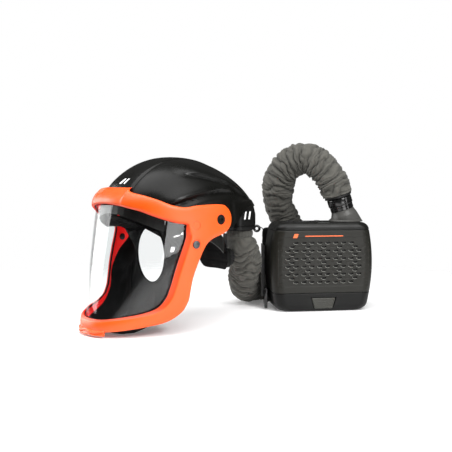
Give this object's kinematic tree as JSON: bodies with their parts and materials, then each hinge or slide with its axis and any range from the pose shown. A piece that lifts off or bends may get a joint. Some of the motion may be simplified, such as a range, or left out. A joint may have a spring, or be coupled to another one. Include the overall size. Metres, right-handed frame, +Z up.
{
  "type": "powered air respirator",
  "caption": "Headtop with a flip-up clear visor and cloth face seal, joined by a fabric-covered hose to a belt-worn blower with a louvred filter cover.",
  "frame": {"origin": "on the floor under the middle of the headtop and blower, measured without the hose", "axes": "+X from the headtop to the blower, +Y to the back, +Z up"},
  "size_m": [0.5401, 0.4404, 0.3321],
  "materials": {
    "shell_black": "satin moulded",
    "orange_frame": "satin moulded",
    "clear_lens": "clear, polished",
    "black_plastic": "satin moulded",
    "black_gloss": "glossy",
    "rubber": "matt",
    "casing": "fine grain moulded",
    "liner_foam": "foam",
    "padded_cloth": "knitted",
    "seal_cloth": "coated woven",
    "hose_cloth": "elasticated woven cover",
    "webbing": "ribbed webbing",
    "filter_paper": "pleated",
    "steel": "brushed",
    "board": "lacquered",
    "cell_wrap": "shrink wrap"
  },
  "bodies": {
    "root": {"back_pad": "padded_cloth", "belt_bracket": "black_plastic", "belt_strap_left": "webbing", "belt_strap_right": "webbing", "blower_housing": "casing", "breathing_hose": "hose_cloth", "brow_air_vent": "black_plastic", "buckle_plug": "black_plastic", "buckle_socket": "black_plastic", "control_board": "board", "control_panel": "black_plastic", "crown_strap_cross": "webbing", "crown_strap_long": "webbing", "fan_volute": "black_plastic", "filter_seal": "rubber", "headband": "black_plastic", "helmet_shell": "shell_black", "hose_band": "rubber", "hose_cuff": "hose_cloth", "hose_socket": "black_plastic", "housing_screw_1": "steel", "housing_screw_2": "steel", "housing_screw_3": "steel", "housing_screw_4": "steel", "impact_liner": "liner_foam", "motor": "steel", "nape_hanger": "rubber", "outlet_neck": "casing", "particle_filter": "filter_paper", "pivot_base_left": "black_plastic", "pivot_base_right": "black_plastic", "pre_filter": "liner_foam", "rear_air_duct": "black_plastic", "strap_ring": "black_plastic", "sweatband": "padded_cloth", "top_cap": "casing", "visor_screw_left": "black_plastic", "visor_screw_right": "black_plastic"},
    "visor": {"visor_frame": "orange_frame", "visor_lens": "clear_lens", "lens_seal": "rubber", "face_seal": "seal_cloth", "lens_rivet_left": "steel", "lens_rivet_right": "steel", "friction_washer_left": "rubber", "friction_washer_right": "rubber"},
    "nape": {"nape_cradle": "padded_cloth", "ratchet_housing": "black_plastic"},
    "knob": {"ratchet_knob": "rubber"},
    "fan_wheel": {"impeller": "black_plastic"},
    "front_cover": {"filter_cover": "casing"},
    "latch_button": {"cover_latch": "casing"},
    "power_key": {"power_button": "rubber"},
    "flow_key": {"flow_button": "rubber"},
    "battery": {"battery_case": "casing", "battery_cells": "cell_wrap"},
    "battery_key": {"battery_latch": "casing"},
    "collar": {"bayonet_collar": "black_gloss"}
  },
  "joints": [
    {"name": "visor_tilt", "type": "hinge", "parent": "root", "child": "visor", "pos_m": [-0.1075, -0.033, 0.191], "axis": [-0.6561, 0.7547, 0], "range_deg": [0, 75], "deforming": ["face_seal"]},
    {"name": "nape_slide", "type": "slide", "parent": "root", "child": "nape", "axis": [-0.7547, -0.6561, 0], "range_m": [0, 0.00598]},
    {"name": "ratchet_turn", "type": "hinge", "parent": "nape", "child": "knob", "pos_m": [-0.0233, 0.0402, 0.109], "axis": [-0.7547, -0.6561, 0], "range_deg": [0, 270]},
    {"name": "fan_spin", "type": "hinge", "parent": "root", "child": "fan_wheel", "pos_m": [0.1489, 0.108, 0.096], "axis": [-0.1392, 0.9903, 0], "continuous": true},
    {"name": "cover_pull", "type": "slide", "parent": "root", "child": "front_cover", "axis": [0.1392, -0.9903, 0], "range_m": [0, 0.06]},
    {"name": "latch_press", "type": "slide", "parent": "root", "child": "latch_button", "axis": [0, 0, -1], "range_m": [0, 0.0025], "stiffness_N_per_m": 400},
    {"name": "power_press", "type": "slide", "parent": "root", "child": "power_key", "axis": [0, 0, -1], "range_m": [0, 0.0015], "stiffness_N_per_m": 300},
    {"name": "flow_press", "type": "slide", "parent": "root", "child": "flow_key", "axis": [0, 0, -1], "range_m": [0, 0.0015], "stiffness_N_per_m": 300},
    {"name": "battery_slide", "type": "slide", "parent": "root", "child": "battery", "axis": [0.1392, -0.9903, 0], "range_m": [0, 0.11]},
    {"name": "battery_press", "type": "slide", "parent": "battery", "child": "battery_key", "axis": [-0.1392, 0.9903, 0], "range_m": [0, 0.0025], "stiffness_N_per_m": 400},
    {"name": "collar_turn", "type": "hinge", "parent": "root", "child": "collar", "pos_m": [0.2091, 0.1114, 0.2104], "axis": [-0.3027, -0.0426, 0.9521], "range_deg": [0, 45]}
  ],
  "couplings": [
    {"joint": "ratchet_turn", "follows": "nape_slide", "rad_per_m": 787}
  ]
}
